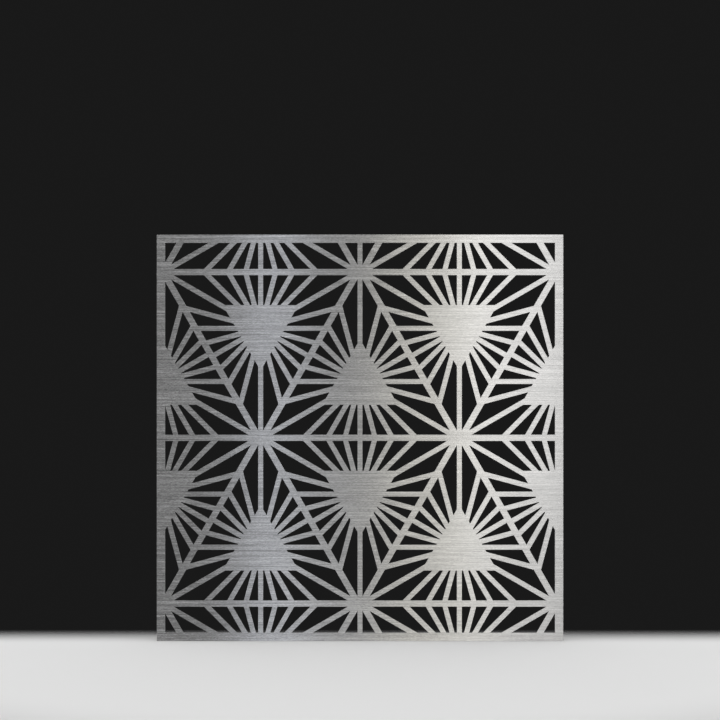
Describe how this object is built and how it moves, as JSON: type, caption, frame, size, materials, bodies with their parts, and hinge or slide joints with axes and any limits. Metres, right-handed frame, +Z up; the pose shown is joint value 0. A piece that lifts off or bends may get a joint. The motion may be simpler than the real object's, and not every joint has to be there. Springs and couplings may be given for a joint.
{
  "type": "laser cut metal screen",
  "caption": "Square metal screen: a brushed sheet with a triangle and ray lattice cut through it, on a mitred angle frame behind its border",
  "frame": {"origin": "middle of the bottom face, at the middle of the screen's depth", "axes": "+X to the right across the screen seen from its brushed face, +Y towards the back, +Z up; the brushed face looks along -Y"},
  "size_m": [1, 0.042, 1],
  "materials": {
    "face": "brushed, with the grain running across the screen",
    "frame": "mill finish, with lines along its length",
    "weld": "as welded and wire brushed",
    "fastener": "bright"
  },
  "bodies": {
    "root": {"face_sheet": "face", "frame_rail_top": "frame", "frame_rail_bottom": "frame", "frame_stile_left": "frame", "frame_stile_right": "frame", "corner_welds": "weld", "weld_studs": "fastener", "stud_washers": "fastener", "stud_nuts": "fastener"}
  },
  "joints": []
}
